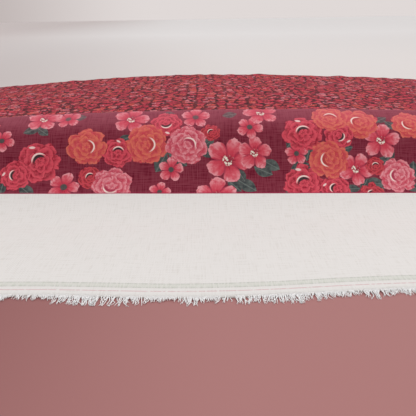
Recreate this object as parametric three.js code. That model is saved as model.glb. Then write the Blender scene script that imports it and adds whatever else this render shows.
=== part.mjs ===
// A fabric bolt: doubled cotton cloth wound on a folded chipboard board, lying on its broad face,
// with the free end of the cloth brought over the front edge and laid out on the table before it.
// Millimetres. X runs along the bolt, -Y is the front, +Z is up, and the origin is the middle of
// the underside.
import * as THREE from "three";

// Clearance
const GAP = 0.3; // left between pieces that touch

// The wound cloth
const CLOTH_WIDTH = 559; // the cloth's width once it is folded in two
const PILE = 22; // depth of the wound turns over the board
const TURN = 1.2; // one doubled turn, with its loft
const EDGE_RADIUS = 25; // the bolt's rounded long edges
const FIRST_TURN_RADIUS = 1.5; // the first turn round the board's corner

// The free end
const TAKE_OFF = THREE.MathUtils.degToRad(65); // how far round the front edge the cloth leaves the bolt
const SWEEP_RADIUS = 50; // the hollow curve in which it comes down to the table
const LAID_LENGTH = 76; // how much of it lies flat
const FRINGE_LENGTH = 6.5;
const FRINGE_SPINE = 1.6; // the closed part of the fringe, next to the cut edge
const FRINGE_THICKNESS = 0.6;
const TUFT_PITCH = 6.5;

// The board: one chipboard blank folded into a flat tube, with a tuck flap at each end
const BOARD_OVERHANG = 19; // how far it stands out of the cloth at each end
const BOARD_DEPTH = 197;
const BOARD_THICKNESS = 16;
const CHIPBOARD = 1.6;
const WEB_INSET = 50; // from the board's long edge to each web inside it
const LAP_DEPTH = 25; // glued joint of the blank, inside the back edge
const TONGUE_LENGTH = 8.5; // what the tuck flap pushes in under the top panel
const TONGUE_SLACK = THREE.MathUtils.degToRad(2.5); // slope past the least that lets it swing out
const TONGUE_CLEARANCE = 2;

// The paper label on the right end flap
const LABEL_LENGTH = 150;
const LABEL_MARGIN = 1;
const LABEL_PAPER = 0.2;

// The strips of tape that hold the cloth's first edge to the board
const TAPE_WIDTH = 48;
const TAPE_REACH = 70;
const TAPE_THICKNESS = 0.2;
const TAPE_STATION = 170; // each strip's distance from the middle of the board

// How round stretches are faceted
const ARC_STEP = THREE.MathUtils.degToRad(9);

// Places that follow from the sizes
const QUARTER = Math.PI / 2;
const boardLength = CLOTH_WIDTH + 2 * BOARD_OVERHANG;
const boardTop = PILE + BOARD_THICKNESS;
const boardMiddle = PILE + BOARD_THICKNESS / 2;
const channelHeight = BOARD_THICKNESS - 2 * CHIPBOARD;
const innerLength = boardLength - 2 * (CHIPBOARD + TONGUE_LENGTH + TONGUE_CLEARANCE);
const flapHeight = BOARD_THICKNESS - CHIPBOARD - GAP;
const halfDepth = BOARD_DEPTH / 2 + PILE;
const thickness = BOARD_THICKNESS + 2 * PILE;
const boardClearance = 2 * GAP + TAPE_THICKNESS; // round the board, where the tape lies
const edgeRadius = Math.min(EDGE_RADIUS, 0.45 * thickness);
const turnMiddle = edgeRadius - TURN / 2;

const FINISHES = {
  printedCloth: { color: "#933f49", roughness: 0.9, metalness: 0 },
  whiteCloth: { color: "#e1ddd8", roughness: 0.92, metalness: 0 },
  yarn: { color: "#efece8", roughness: 0.95, metalness: 0 },
  chipboard: { color: "#a98f70", roughness: 0.85, metalness: 0 },
  paper: { color: "#f1eee7", roughness: 0.7, metalness: 0 },
  tape: { color: "#d9c48d", roughness: 0.6, metalness: 0 },
};

const bolt = new THREE.Group();

function addPiece(name, geometry, finish) {
  const mesh = new THREE.Mesh(geometry, new THREE.MeshStandardMaterial(FINISHES[finish]));
  mesh.name = name;
  bolt.add(mesh);
  return mesh;
}

// ---- Outlines ----

// A line walked forward in straights and arcs. Each stop keeps its heading, so that a ribbon of any
// thickness can be drawn along the line.
class Track {
  constructor(start, heading, lead = 0) {
    this.at = start.clone();
    this.heading = heading;
    this.stops = [];
    this.straight(lead);
  }
  step(length) {
    this.at.x += length * Math.cos(this.heading);
    this.at.y += length * Math.sin(this.heading);
  }
  mark() {
    this.stops.push({ at: this.at.clone(), heading: this.heading });
  }
  straight(length) {
    this.step(length);
    this.mark();
    return this;
  }
  // A positive turn bends to the left.
  arc(radius, turn) {
    const steps = Math.max(1, Math.ceil(Math.abs(turn) / ARC_STEP));
    const halfTurn = turn / steps / 2;
    for (let i = 0; i < steps; i++) {
      this.heading += halfTurn;
      this.step(2 * radius * Math.sin(Math.abs(halfTurn)));
      this.heading += halfTurn;
      this.mark();
    }
    return this;
  }
  ribbon(width) {
    const side = (offset) =>
      this.stops.map(
        ({ at, heading }) =>
          new THREE.Vector2(
            at.x - offset * Math.sin(heading),
            at.y + offset * Math.cos(heading),
          ),
      );
    return new THREE.Shape([...side(width / 2), ...side(-width / 2).reverse()]);
  }
}

// A closed outline in Y and Z with four equal round corners.
function roundedOutline(halfWidth, low, high, radius) {
  const run = 2 * (halfWidth - radius);
  const rise = high - low - 2 * radius;
  const track = new Track(new THREE.Vector2(-halfWidth + radius, low), 0);
  for (const side of [run, rise, run, rise]) {
    track.straight(side).arc(radius, QUARTER);
  }
  return track.stops.slice(0, -1).map(({ at }) => at);
}

// Extrudes an outline drawn in Y and Z along X, centred on X = 0.
function alongX(outline, length) {
  const geometry = new THREE.ExtrudeGeometry(outline, { depth: length, bevelEnabled: false });
  const yToX = new THREE.Matrix4().makeBasis(
    new THREE.Vector3(0, 1, 0),
    new THREE.Vector3(0, 0, 1),
    new THREE.Vector3(1, 0, 0),
  );
  return geometry.applyMatrix4(yToX).translate(-length / 2, 0, 0);
}

// ---- The board ----

function addBoard() {
  const foldIn = CHIPBOARD + GAP; // a panel ends this far in from the face that folds over it
  const tubeLength = boardLength - 2 * foldIn;
  const wallHeight = channelHeight - 2 * GAP;

  const top = new THREE.BoxGeometry(boardLength, BOARD_DEPTH, CHIPBOARD);
  addPiece("board_top_panel", top, "chipboard").position.z = boardTop - CHIPBOARD / 2;

  const bottom = new THREE.BoxGeometry(tubeLength, BOARD_DEPTH, CHIPBOARD);
  addPiece("board_bottom_panel", bottom, "chipboard").position.z = PILE + CHIPBOARD / 2;

  for (const [name, side] of [["front", -1], ["back", 1]]) {
    const spineAt = side * (BOARD_DEPTH / 2 - CHIPBOARD / 2);
    const spine = new THREE.BoxGeometry(tubeLength, CHIPBOARD, wallHeight);
    addPiece(`board_${name}_spine`, spine, "chipboard").position.set(0, spineAt, boardMiddle);

    const webAt = side * (BOARD_DEPTH / 2 - WEB_INSET);
    const web = new THREE.BoxGeometry(innerLength, CHIPBOARD, wallHeight);
    addPiece(`board_${name}_web`, web, "chipboard").position.set(0, webAt, boardMiddle);
  }

  const lapAt = BOARD_DEPTH / 2 - foldIn - LAP_DEPTH / 2;
  const lap = new THREE.BoxGeometry(innerLength, LAP_DEPTH, CHIPBOARD);
  addPiece("board_glue_lap", lap, "chipboard").position.set(
    0,
    lapAt,
    PILE + foldIn + CHIPBOARD / 2,
  );
}

// A tuck flap: the panel that closes the board's end, folded over at the top into a tongue that goes
// in under the top panel. It folds open about its lower edge, so the tongue slopes enough to stay
// below the circle that the panel's top edge swings on.
function addEndFlap(name, side) {
  const slope = Math.asin(TONGUE_LENGTH / (2 * flapHeight)) + TONGUE_SLACK;
  const reach = TONGUE_LENGTH * Math.cos(slope);
  const drop = TONGUE_LENGTH * Math.sin(slope);
  const head = PILE + flapHeight;
  const section = [
    [0, PILE],
    [0, head],
    [-CHIPBOARD, head],
    [-CHIPBOARD - reach, head - drop],
    [-CHIPBOARD - reach, head - drop - CHIPBOARD / 2],
    [-CHIPBOARD, head - CHIPBOARD],
    [-CHIPBOARD, PILE],
  ];
  const outline = section.map(([x, z]) => new THREE.Vector2(side * x, z));
  const depth = BOARD_DEPTH - 2 * (CHIPBOARD + TONGUE_CLEARANCE);
  const geometry = new THREE.ExtrudeGeometry(new THREE.Shape(outline), {
    depth,
    bevelEnabled: false,
  });
  geometry.rotateX(QUARTER).translate((side * boardLength) / 2, depth / 2, 0);
  addPiece(name, geometry, "chipboard");
}

function addLabel() {
  const label = new THREE.BoxGeometry(LABEL_PAPER, LABEL_LENGTH, flapHeight - 2 * LABEL_MARGIN);
  addPiece("end_label", label, "paper").position.set(
    boardLength / 2 + GAP + LABEL_PAPER / 2,
    0,
    PILE + flapHeight / 2,
  );
}

function addTape(name, station) {
  const tape = new THREE.BoxGeometry(TAPE_WIDTH, TAPE_REACH, TAPE_THICKNESS);
  addPiece(name, tape, "tape").position.set(station, 0, boardTop + GAP + TAPE_THICKNESS / 2);
}

// ---- The cloth ----

// The turns on the board, all but the last. The first turn's corner is kept small enough to clear
// the board's sharp one.
function addWoundCloth() {
  const inset = TURN + GAP;
  const mostRadius = (Math.SQRT2 * boardClearance - GAP) / (Math.SQRT2 - 1);
  const ring = new THREE.Shape(
    roundedOutline(halfDepth - inset, inset, thickness - inset, edgeRadius - inset),
  );
  const hollow = roundedOutline(
    BOARD_DEPTH / 2 + boardClearance,
    PILE - boardClearance,
    boardTop + boardClearance,
    Math.min(FIRST_TURN_RADIUS, mostRadius),
  );
  ring.holes.push(new THREE.Path(hollow));
  addPiece("wound_cloth", alongX(ring, CLOTH_WIDTH), "printedCloth");
}

// A point on the rounded front edge, at an angle forward from straight up.
function roundTheFront(angle, radius) {
  return new THREE.Vector2(
    -halfDepth + edgeRadius - radius * Math.sin(angle),
    thickness - edgeRadius + radius * Math.cos(angle),
  );
}

// The last full turn. It starts under the free end, just far enough below the take-off to clear it,
// and goes under the bolt, up the back and over the top.
function addOuterTurn() {
  const clearOfFreeEnd = Math.acos((edgeRadius - TURN - GAP) / edgeRadius);
  const start = TAKE_OFF + clearOfFreeEnd;
  const run = 2 * (halfDepth - edgeRadius);
  const rise = thickness - 2 * edgeRadius;
  const track = new Track(roundTheFront(start, turnMiddle), Math.PI + start);
  track.arc(turnMiddle, QUARTER - start).straight(rise).arc(turnMiddle, QUARTER);
  track.straight(run).arc(turnMiddle, QUARTER).straight(rise).arc(turnMiddle, QUARTER);
  track.straight(run).arc(turnMiddle, TAKE_OFF);
  addPiece("outer_turn", alongX(track.ribbon(TURN), CLOTH_WIDTH), "printedCloth");
}

// The free end: straight off the front edge, down in a hollow sweep, and flat along the table. It
// returns the middle of its cut edge.
function addFreeEnd() {
  const takeOff = roundTheFront(TAKE_OFF, turnMiddle);
  const height = takeOff.y - TURN / 2;
  const sweepShare = 1 - Math.cos(TAKE_OFF); // of its radius, the height that the sweep takes up
  const sweep = Math.min(SWEEP_RADIUS, (0.95 * height) / sweepShare);
  const slope = (height - sweep * sweepShare) / Math.sin(TAKE_OFF);
  const track = new Track(takeOff, Math.PI + TAKE_OFF, GAP);
  track.straight(slope - GAP).arc(sweep, -TAKE_OFF).straight(LAID_LENGTH);
  addPiece("free_end", alongX(track.ribbon(TURN), CLOTH_WIDTH), "whiteCloth");
  return track.at;
}

// The frayed edge, as one comb of tufts that lean a little this way and that.
function addFringe(cutEdge) {
  const tufts = Math.round(CLOTH_WIDTH / TUFT_PITCH);
  const pitch = CLOTH_WIDTH / tufts;
  const left = -CLOTH_WIDTH / 2;
  const root = cutEdge.x - GAP;
  const outline = [new THREE.Vector2(-left, root), new THREE.Vector2(left, root)];
  for (let i = 0; i < tufts; i++) {
    const lean = 0.18 * pitch * Math.sin(2.4 * i);
    const tip = root - FRINGE_LENGTH * (0.9 + 0.1 * Math.cos(3.9 * i));
    outline.push(
      new THREE.Vector2(left + i * pitch, root - FRINGE_SPINE),
      new THREE.Vector2(left + (i + 0.4) * pitch + lean, tip),
      new THREE.Vector2(left + (i + 0.7) * pitch + lean, tip),
    );
  }
  outline.push(new THREE.Vector2(-left, root - FRINGE_SPINE));
  const geometry = new THREE.ExtrudeGeometry(new THREE.Shape(outline), {
    depth: FRINGE_THICKNESS,
    bevelEnabled: false,
  });
  geometry.translate(0, 0, cutEdge.y - FRINGE_THICKNESS / 2);
  addPiece("fringe", geometry, "yarn");
}

addBoard();
addEndFlap("end_flap_left", -1);
addEndFlap("end_flap_right", 1);
addLabel();
addTape("start_tape_left", -TAPE_STATION);
addTape("start_tape_right", TAPE_STATION);
addWoundCloth();
addOuterTurn();
addFringe(addFreeEnd());

export default bolt;
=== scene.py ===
"""A fabric bolt: doubled cotton with a rose border, wound on a folded chipboard board, its fringed
free end laid out in front. Lengths are in metres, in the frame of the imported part: X runs along the
bolt, -Y is the front and +Z is up."""

import math

import bpy
import numpy as np
from mathutils import Matrix, Vector, noise


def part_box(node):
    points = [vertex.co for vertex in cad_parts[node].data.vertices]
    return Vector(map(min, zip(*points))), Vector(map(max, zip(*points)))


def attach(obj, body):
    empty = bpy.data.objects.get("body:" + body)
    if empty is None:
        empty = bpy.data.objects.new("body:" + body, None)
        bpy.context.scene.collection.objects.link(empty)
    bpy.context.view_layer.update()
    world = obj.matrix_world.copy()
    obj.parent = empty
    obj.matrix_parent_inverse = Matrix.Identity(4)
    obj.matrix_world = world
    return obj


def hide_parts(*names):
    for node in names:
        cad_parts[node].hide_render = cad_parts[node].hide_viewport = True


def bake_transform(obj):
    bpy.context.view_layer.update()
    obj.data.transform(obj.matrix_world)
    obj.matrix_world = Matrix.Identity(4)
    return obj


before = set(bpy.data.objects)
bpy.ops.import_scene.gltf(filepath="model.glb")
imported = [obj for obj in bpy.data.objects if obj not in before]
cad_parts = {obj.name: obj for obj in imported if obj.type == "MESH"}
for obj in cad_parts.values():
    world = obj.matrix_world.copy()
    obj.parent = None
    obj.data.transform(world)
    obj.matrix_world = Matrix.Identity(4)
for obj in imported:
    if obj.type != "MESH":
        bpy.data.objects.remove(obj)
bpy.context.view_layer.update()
MM = 0.001

# ---- The camera, the table and the light ----
# A short normal lens looks a little down on the front edge from a hand's height above the bolt. The
# table is plain: pale behind the bolt and dusty rose before it, and the two meet underneath.

LENS_MM = 38.6
CAMERA_PLACE = (0, -430 * MM, 130 * MM)
CAMERA_PITCH = math.radians(24.1)
CAMERA_ROLL = math.radians(-0.96)

camera = bpy.data.objects.new("camera", bpy.data.cameras.new("camera"))
camera.data.lens = LENS_MM
camera.data.sensor_width = 36
camera.data.clip_start = 5 * MM
camera.matrix_world = (
    Matrix.Translation(CAMERA_PLACE)
    @ Matrix.Rotation(math.radians(90) - CAMERA_PITCH, 4, "X")
    @ Matrix.Rotation(CAMERA_ROLL, 4, "Z")
)
bpy.context.scene.collection.objects.link(camera)
bpy.context.scene.camera = camera
bpy.context.scene.view_settings.view_transform = "Standard"


def linear(code):
    """The linear colour of an sRGB hex code, with alpha 1."""
    parts = [int(code[i : i + 2], 16) / 255 for i in (1, 3, 5)]
    return (*[c / 12.92 if c <= 0.04045 else ((c + 0.055) / 1.055) ** 2.4 for c in parts], 1)


def first_output(node):
    """The first of a node's outputs that is in use."""
    return next(socket for socket in node.outputs if socket.enabled)


def add(tree, kind, inputs=None, stops=None, **settings):
    """Adds a node with its settings, its inputs' values or links, and a ramp's stops. A number stands
    for a place among the inputs in use, and a node for its first output in use."""
    made = tree.nodes.new(kind if kind.startswith("NodeGroup") else "ShaderNode" + kind)
    for name, value in settings.items():
        setattr(made, name, value)
    for i, (place, code) in enumerate(stops or ()):
        ramp = made.color_ramp.elements
        stop = ramp[i] if i < len(ramp) else ramp.new(place)
        stop.position, stop.color = place, linear(code)
    in_use = [s for s in made.inputs if s.enabled]
    for key, value in (inputs or {}).items():
        socket = in_use[key] if isinstance(key, int) else made.inputs[key]
        if isinstance(value, bpy.types.Node):
            value = first_output(value)
        if isinstance(value, bpy.types.NodeSocket):
            tree.links.new(value, socket)
        else:
            socket.default_value = value
    return made


SOFT = {"interpolation_type": "SMOOTHSTEP"}  # a map range with soft ends


def material(name, **shader):
    """A new material, its node tree and its shader, with constant values on the shader's own sockets."""
    made = bpy.data.materials.new(name)
    made.use_nodes = True
    tree = made.node_tree
    surface = tree.nodes["Principled BSDF"]
    for socket, value in shader.items():
        surface.inputs[socket.replace("_", " ")].default_value = value
    return made, tree, surface


def coat(tree, surface, colour, relief=None):
    """Gives a material's shader its colour, and its relief if it has one."""
    tree.links.new(first_output(colour), surface.inputs["Base Color"])
    if relief:
        tree.links.new(relief.outputs["Normal"], surface.inputs["Normal"])


def mesh_piece(name, points, faces, finishes, body=None):
    """A smooth mesh piece from points in the part's frame, on its body if one is named."""
    mesh = bpy.data.meshes.new(name)
    mesh.from_pydata([tuple(p) for p in points], [], faces)
    mesh.polygons.foreach_set("use_smooth", [True] * len(mesh.polygons))
    for finish in finishes:
        mesh.materials.append(finish)
    mesh.update()
    piece = bpy.data.objects.new(name, mesh)
    bpy.context.scene.collection.objects.link(piece)
    if body:
        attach(piece, body)
    return piece


TABLE_REACH = 6.0
TABLE_MEETS = 90 * MM  # half the depth over which the table's two colours meet
ROSE_PAINTED_FALLOFF = (-150 * MM, 20 * MM)  # along X, from the darker colour to the lighter: painted shade, darker to the left where the light falls off
PALE_PAINTED_FALLOFF = (-620 * MM, 120 * MM)
FAR_PAINTED_FALLOFF = (-1500 * MM, -100 * MM)
FAR_FROM = 500 * MM  # behind the bolt
FAR_TO = 2200 * MM

# Painted board, sanded flat: an even, nearly matt colour, with painted shade that darkens it gently to
# the left, where the light falls off.
table_top, tree, surface = material("painted_table_top", Roughness=0.75)
along = add(tree, "SeparateXYZ", {0: add(tree, "NewGeometry").outputs["Position"]})
blend = add(tree, "MapRange", {0: along.outputs["Y"], 1: -TABLE_MEETS, 2: TABLE_MEETS}, **SOFT)
parts = []
# Painted shade: each of the table's colours darkens towards the left, standing in for the light falling
# off away from the side lamp.
for (dark_at, light_at), dark, light in ((ROSE_PAINTED_FALLOFF, "#925c5b", "#ac7674"),
                                         (PALE_PAINTED_FALLOFF, "#c6bbb9", "#dfd8d5"),
                                         (FAR_PAINTED_FALLOFF, "#e2d6d4", "#fffbfa")):
    painted_falloff = add(tree, "MapRange", {0: along.outputs["X"], 1: dark_at, 2: light_at}, **SOFT)
    parts.append(add(tree, "ValToRGB", {0: painted_falloff}, stops=[(0, dark), (1, light)]))
rose_part, pale_part, far_part = parts
far = add(tree, "MapRange", {0: along.outputs["Y"], 1: FAR_FROM, 2: FAR_TO})
behind = add(tree, "Mix", {0: far, 1: pale_part, 2: far_part}, data_type="RGBA")
tint = add(tree, "Mix", {0: blend, 1: rose_part, 2: behind}, data_type="RGBA")
coat(tree, surface, tint)
table_corners = [(x * TABLE_REACH, y * TABLE_REACH, 0) for x, y in ((-1, -1), (1, -1), (1, 1), (-1, 1))]
table = mesh_piece("table", table_corners, [(0, 1, 2, 3)], [table_top])

ROOM_LIGHT = 0.78
OVERHEAD_WATTS = 7.8
SIDE_WATTS = 3.6

world = bpy.data.worlds.new("room")
bpy.context.scene.world = world
world.use_nodes = True
sky = world.node_tree
high_up = add(sky, "SeparateXYZ", {0: add(sky, "TexCoord").outputs["Generated"]})
across = add(sky, "MapRange", {0: high_up.outputs["X"], 1: -0.55, 2: -0.1}, **SOFT)
horizon = add(sky, "ValToRGB", {0: across}, stops=[(0, "#c8bbb9"), (1, "#faf2f0")])
upward = add(sky, "MapRange", {0: high_up.outputs["Z"], 1: 0.03, 2: 0.30})
dome = add(sky, "Mix", {0: upward, 1: horizon, 2: linear("#f6f5f5")}, data_type="RGBA")
sky.links.new(first_output(dome), sky.nodes["Background"].inputs["Color"])
sky.nodes["Background"].inputs["Strength"].default_value = ROOM_LIGHT


def soft_light(name, place, aim, size, power):
    """A square soft box that faces a point."""
    lamp = bpy.data.objects.new(name, bpy.data.lights.new(name, "AREA"))
    lamp.data.size = size
    lamp.data.energy = power
    lamp.location = place
    lamp.rotation_euler = (Vector(aim) - Vector(place)).to_track_quat("-Z", "Y").to_euler()
    bpy.context.scene.collection.objects.link(lamp)


soft_light("overhead_box", (0.35, 0.1, 1.5), (0, -0.1, 0), 1.5, OVERHEAD_WATTS)
soft_light("side_box", (1.6, -0.3, 0.9), (0, -0.1, 0), 1.0, SIDE_WATTS)

# ---- The board ----
# One blank of grey recycled chipboard, scored, folded into a shallow box and glued along a lap. Two
# webs stiffen it. Its creases are soft and round, and its cut edges are raw.

CHIPBOARD = 1.6 * MM
CREASE = 2.0 * MM
END_RAW = 1.9 * MM  # how far the top panel runs on over the end flaps
BOARD_STATIONS = 40
CORNER_STEPS = 5
CREASE_SPREAD = 0.4 * MM  # how sharply the top panel's longer ends begin
BOARD_WARP = 0.12 * MM
WARP_SIZE = 30 * MM
SPECK = 1.4 * MM  # flecks of the pulp; the real ones are down to a third of this

top_low, top_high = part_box("board_top_panel")
board_low = Vector((top_low.x, top_low.y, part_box("board_bottom_panel")[0].z))
board_high = top_high

# Grey chipboard: pressed from pulped waste paper, so dull and flecked, with a faint lie of fibres.
chipboard, tree, surface = material("grey_chipboard", Roughness=0.88, Specular_IOR_Level=0.25)
at = add(tree, "TexCoord").outputs["Object"]
stretched = add(tree, "VectorMath", {0: at, 1: (1 / (6 * SPECK), 1 / SPECK, 1 / SPECK)},
                operation="MULTIPLY")
fibres = add(tree, "TexNoise", {"Vector": stretched, "Scale": 1, "Detail": 4, "Roughness": 0.65})
pulp = add(tree, "ValToRGB", {0: fibres.outputs["Fac"]},
           stops=[(0.30, "#8d8376"), (0.52, "#a59b8c"), (0.75, "#bbb2a3")])
flecked = add(tree, "VectorMath", {0: at, 1: 1 / SPECK}, operation="SCALE")
flecks = add(tree, "TexVoronoi", {"Vector": flecked, "Scale": 0.6})
fleck = add(tree, "MapRange", {0: flecks.outputs["Distance"], 1: 0.22, 2: 0.10}, **SOFT)
fleck_some = add(tree, "MapRange", {0: flecks.outputs["Color"], 1: 0.62, 2: 0.68}, **SOFT)
fleck_on = add(tree, "Math", {0: fleck, 1: fleck_some}, operation="MULTIPLY")
board_colour = add(tree, "Mix", {0: fleck_on, 1: pulp, 2: linear("#5f574e")}, data_type="RGBA")
grain = add(tree, "Bump", {"Strength": 0.4, "Distance": 0.08 * MM, "Height": fibres.outputs["Fac"]})
coat(tree, surface, board_colour, grain)


def round_box(low, high, radius, steps):
    """Points round a rectangle with rounded corners, from its two opposite corners."""
    loop = []
    for k, (a, b) in enumerate([(high[0], high[1]), (low[0], high[1]), (low[0], low[1]),
                                (high[0], low[1])]):
        centre = (a - math.copysign(radius, a - (low[0] + high[0]) / 2),
                  b - math.copysign(radius, b - (low[1] + high[1]) / 2))
        for i in range(steps + 1):
            turn = (k + i / steps) * math.pi / 2
            loop.append((centre[0] + radius * math.cos(turn), centre[1] + radius * math.sin(turn)))
    return loop


def lofted(loops):
    """Faces that join equal loops of points in a row, with a face at each end."""
    count = len(loops[0])
    faces = [(r * count + i, r * count + (i + 1) % count,
              (r + 1) * count + (i + 1) % count, (r + 1) * count + i)
             for r in range(len(loops) - 1) for i in range(count)]
    last = (len(loops) - 1) * count
    return faces + [tuple(range(count))[::-1], tuple(range(last, last + count))]


outer = round_box(board_low.yz, board_high.yz, CREASE, CORNER_STEPS)
inner = round_box((board_low.y + CHIPBOARD, board_low.z + CHIPBOARD),
                  (board_high.y - CHIPBOARD, board_high.z - CHIPBOARD), CREASE - CHIPBOARD,
                  CORNER_STEPS)
loops = []
for i in range(BOARD_STATIONS + 1):
    x = (2 * i / BOARD_STATIONS - 1) * (board_high.x - END_RAW)
    for wall in (outer, inner):
        loop = []
        for y, z in wall:
            over = min(max((z - board_high.z + CHIPBOARD) / CREASE_SPREAD + 1, 0), 1)
            at_end = END_RAW * over * math.copysign(1, x) if i in (0, BOARD_STATIONS) else 0
            dent = BOARD_WARP * noise.noise((x / WARP_SIZE, y / WARP_SIZE, z / WARP_SIZE))
            loop.append((x + at_end, y + dent, z))
        loops.append(loop)
count = len(outer)
board_faces = []
for i in range(BOARD_STATIONS):
    for j in range(count):
        a, b = 2 * i * count + j, 2 * i * count + (j + 1) % count
        board_faces.append((a, b, b + 2 * count, a + 2 * count))
        board_faces.append((b + count, a + count, a + 3 * count, b + 3 * count))
for j in range(count):
    a, b = j, (j + 1) % count
    board_faces.append((b, a, a + count, b + count))
    last = 2 * BOARD_STATIONS * count
    board_faces.append((a + last, b + last, b + last + count, a + last + count))
board = mesh_piece("folded_board", [p for loop in loops for p in loop], board_faces, [chipboard],
                   body="bolt")
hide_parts("board_top_panel", "board_bottom_panel", "board_front_spine", "board_back_spine")


def refinish(finish, *names):
    """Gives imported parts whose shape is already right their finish."""
    for name in names:
        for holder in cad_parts[name].material_slots:
            holder.material = finish


refinish(chipboard, "board_front_web", "board_back_web", "board_glue_lap")

# ---- The end flaps ----
# Each end of the box is shut by a flap that folds up about its lower crease and tucks a short tongue
# in under the top panel. They are of the same chipboard, scored on the outside of the fold.

TONGUE_LENGTH = 8.5 * MM
TONGUE_SLACK = math.radians(2.5)  # slope past the least that lets the tongue swing out
TONGUE_TIP = 0.8 * MM
TONGUE_CORNER = 6 * MM
FOLD_ROUND = 1.2 * MM
RAW_EDGE = 0.2 * MM  # the cut edge's own small rounding
FLAP_WARP = 0.10 * MM

for name, body, side in (("tuck_flap_left", "left_flap", -1), ("tuck_flap_right", "right_flap", 1)):
    node_name = "end_" + name.removeprefix("tuck_")
    flap_low, flap_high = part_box(node_name)
    face_x = flap_high.x if side > 0 else flap_low.x
    tip = abs(flap_high.x - flap_low.x)
    head = flap_high.z
    slope = math.asin(TONGUE_LENGTH / (2 * (head - flap_low.z))) + TONGUE_SLACK
    drop = (tip - CHIPBOARD) * math.tan(slope)
    bend = [(FOLD_ROUND * (1 - math.cos(t)), head - FOLD_ROUND * (1 - math.sin(t)))
            for t in (0, 0.4, 0.8, 1.2, 1.5)]
    section = (
        [(0, flap_low.z + RAW_EDGE), (0.15 * MM, flap_low.z), (CHIPBOARD - 0.15 * MM, flap_low.z),
         (CHIPBOARD, flap_low.z + RAW_EDGE), (CHIPBOARD, head - 2.4 * MM),
         (CHIPBOARD + 0.5 * MM, head - 1.9 * MM), (tip - 0.3 * MM, head - drop - TONGUE_TIP),
         (tip, head - drop - TONGUE_TIP / 2), (tip - 0.3 * MM, head - drop + 0.05 * MM)]
        + bend[::-1]
    )
    spots = [0, 0.4, 1.2, 2.5, 4, 6, 9, 20, 40, 60, 80]
    half = flap_high.y
    ys = sorted({half - v * MM for v in spots} | {-half + v * MM for v in spots} | {0})
    loops = []
    for y in ys:
        near = max(0, TONGUE_CORNER - (half - abs(y))) / TONGUE_CORNER
        kept = 1 - (1 - math.sqrt(1 - near**2)) * 0.8
        warp = FLAP_WARP * noise.noise((y / (40 * MM), side, 2.2))
        loops.append([(face_x - side * (CHIPBOARD + (a - CHIPBOARD) * kept if a > CHIPBOARD else a),
                       y, z + (warp if a > CHIPBOARD else 0)) for a, z in section])
    flap_faces = lofted(loops)
    if side > 0:
        flap_faces = [face[::-1] for face in flap_faces]
    flap = mesh_piece(name, [p for loop in loops for p in loop], flap_faces, [chipboard], body=body)
    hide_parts(node_name)

# ---- The end label ----
# A strip of uncoated paper gummed to the right-hand flap, with a shop's plain ruled boxes and bars
# for the cut and the price. Its corners lift a little.

PAPER = 0.12 * MM
CORNER_LIFT = 0.35 * MM
LABEL_COLUMNS = 40
LABEL_ROWS = 8

# Uncoated label paper: matt, a little warm, with dull printed bars.
paper, tree, surface = material("uncoated_label_paper", Roughness=0.8, Specular_IOR_Level=0.3)
label_low, label_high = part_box("end_label")
at = add(tree, "TexCoord").outputs["Object"]
split = add(tree, "SeparateXYZ", {0: at})
along = add(tree, "MapRange", {0: split.outputs["Y"], 1: label_low.y, 2: label_high.y})
up = add(tree, "MapRange", {0: split.outputs["Z"], 1: label_low.z, 2: label_high.z})
layout = add(tree, "ValToRGB", {0: along},
             stops=[(0.0, "#a6303c"), (0.10, "#efe9de"), (0.14, "#3a3638"), (0.33, "#efe9de"),
                    (0.40, "#bdb6ab"), (0.405, "#efe9de"), (0.70, "#bdb6ab"), (0.705, "#efe9de")])
layout.color_ramp.interpolation = "CONSTANT"
bar_at = add(tree, "Math", {0: along, 1: 240}, operation="MULTIPLY")
bar_chance = add(tree, "TexWhiteNoise", {0: add(tree, "Math", {0: bar_at}, operation="FLOOR")},
                 noise_dimensions="1D")
bar = add(tree, "Math", {0: bar_chance, 1: 0.5}, operation="GREATER_THAN")
in_bars = add(tree, "MapRange", {0: along, 1: 0.1399, 2: 0.14})
past_bars = add(tree, "MapRange", {0: along, 1: 0.33, 2: 0.3299})
bars = add(tree, "Math", {0: in_bars, 1: past_bars}, operation="MULTIPLY")
gap_bars = add(tree, "Math", {0: bars, 1: bar}, operation="MULTIPLY")
barred = add(tree, "Mix", {0: gap_bars, 1: layout, 2: linear("#efe9de")}, data_type="RGBA")
from_middle = add(tree, "Math", {0: up, 1: 0.5}, operation="SUBTRACT")
off_middle = add(tree, "Math", {0: from_middle}, operation="ABSOLUTE")
margin = add(tree, "MapRange", {0: off_middle, 1: 0.36, 2: 0.38})
label_colour = add(tree, "Mix", {0: margin, 1: barred, 2: linear("#efe9de")}, data_type="RGBA")
tooth = add(tree, "TexNoise", {"Vector": at, "Scale": 1 / (0.8 * MM), "Detail": 3})
toothed = add(tree, "Bump", {"Strength": 0.25, "Distance": 0.03 * MM, "Height": tooth.outputs["Fac"]})
coat(tree, surface, label_colour, toothed)

label_points = []
for i in range(LABEL_COLUMNS + 1):
    for j in range(LABEL_ROWS + 1):
        u, v = i / LABEL_COLUMNS, j / LABEL_ROWS
        lifted = CORNER_LIFT * (abs(2 * u - 1) ** 12) * (abs(2 * v - 1) ** 2)
        label_points.append((label_low.x - PAPER + lifted,
                             label_low.y + u * (label_high.y - label_low.y),
                             label_low.z + v * (label_high.z - label_low.z)))
label_faces = []
for i in range(LABEL_COLUMNS):
    for j in range(LABEL_ROWS):
        a = i * (LABEL_ROWS + 1) + j
        label_faces.append((a, a + LABEL_ROWS + 1, a + LABEL_ROWS + 2, a + 1))
label = mesh_piece("paper_label", label_points, label_faces, [paper])
thick = label.modifiers.new("paper", "SOLIDIFY")
thick.thickness = PAPER
thick.offset = 0
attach(label, "right_flap")
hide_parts("end_label")

# ---- The starting tapes ----
# Two strips of masking tape hold the cloth's first edge to the board. They are creped paper, a dull
# cream, and lie under the whole pile.

CREPE = 0.9 * MM  # from ridge to ridge

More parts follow.
